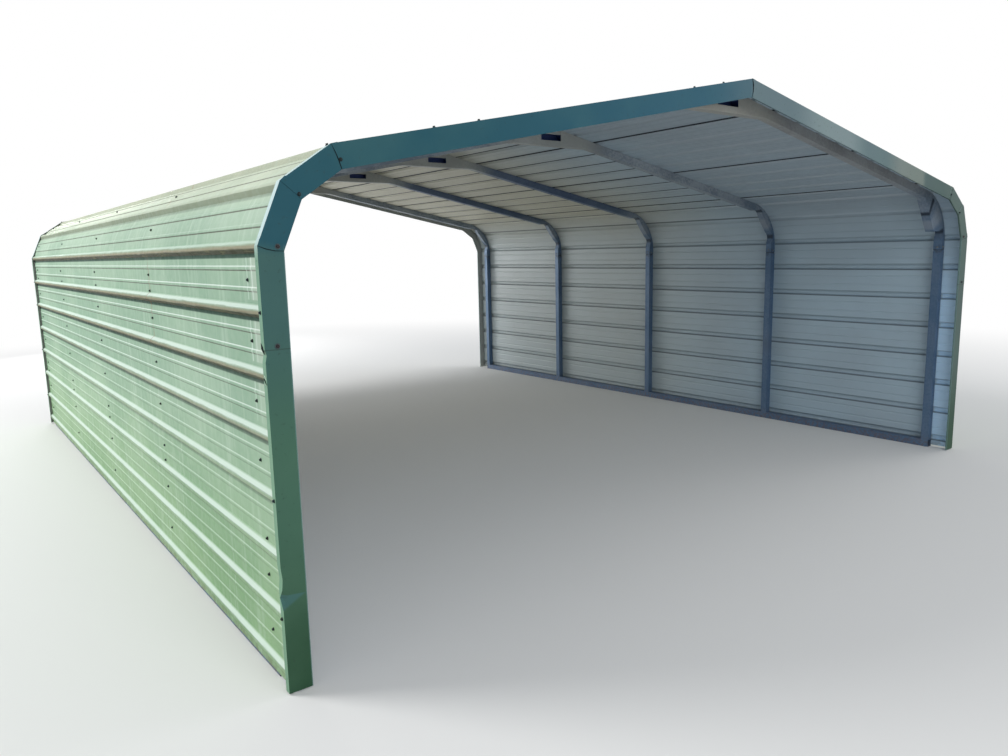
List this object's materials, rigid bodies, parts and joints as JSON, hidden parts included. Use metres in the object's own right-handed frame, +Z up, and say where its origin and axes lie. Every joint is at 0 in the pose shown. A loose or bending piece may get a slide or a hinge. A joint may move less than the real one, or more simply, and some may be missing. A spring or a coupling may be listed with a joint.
{
  "type": "open carport with sheeted side walls",
  "caption": "Open-ended steel carport with curved eaves, a low gable roof and ribbed sheet side walls on a square tube frame.",
  "frame": {"origin": "on the ground at the middle of the plan", "axes": "+Y from the front opening to the rear along the ribs, +Z up, +X to the right seen from the front"},
  "size_m": [5.5324, 6.4034, 2.5304],
  "materials": {
    "galvanised_tube": "dull spangled zinc",
    "painted_sheet": "weathered sage green outside, off-white inside",
    "painted_trim": "satin dark green"
  },
  "bodies": {
    "root": {"corner_brace": "galvanised_tube", "front_left_leg_trim": "painted_trim", "front_left_rake_trim": "painted_trim", "front_right_leg_trim": "painted_trim", "front_right_rake_trim": "painted_trim", "left_base_rail": "galvanised_tube", "left_bow_1": "galvanised_tube", "left_bow_2": "galvanised_tube", "left_bow_3": "galvanised_tube", "left_bow_4": "galvanised_tube", "left_bow_5": "galvanised_tube", "left_eave_sheet_1": "painted_sheet", "left_leg_1": "galvanised_tube", "left_leg_2": "galvanised_tube", "left_leg_3": "galvanised_tube", "left_leg_4": "galvanised_tube", "left_leg_5": "galvanised_tube", "left_roof_sheet_1": "painted_sheet", "left_roof_sheet_2": "painted_sheet", "left_wall_sheet_1": "painted_sheet", "left_wall_sheet_2": "painted_sheet", "peak_braces": "galvanised_tube", "rear_left_leg_trim": "painted_trim", "rear_left_rake_trim": "painted_trim", "rear_right_leg_trim": "painted_trim", "rear_right_rake_trim": "painted_trim", "ridge_sheet": "painted_sheet", "right_base_rail": "galvanised_tube", "right_bow_1": "galvanised_tube", "right_bow_2": "galvanised_tube", "right_bow_3": "galvanised_tube", "right_bow_4": "galvanised_tube", "right_bow_5": "galvanised_tube", "right_eave_sheet_1": "painted_sheet", "right_leg_1": "galvanised_tube", "right_leg_2": "galvanised_tube", "right_leg_3": "galvanised_tube", "right_leg_4": "galvanised_tube", "right_leg_5": "galvanised_tube", "right_roof_sheet_1": "painted_sheet", "right_roof_sheet_2": "painted_sheet", "right_wall_sheet_1": "painted_sheet", "right_wall_sheet_2": "painted_sheet"}
  },
  "joints": []
}
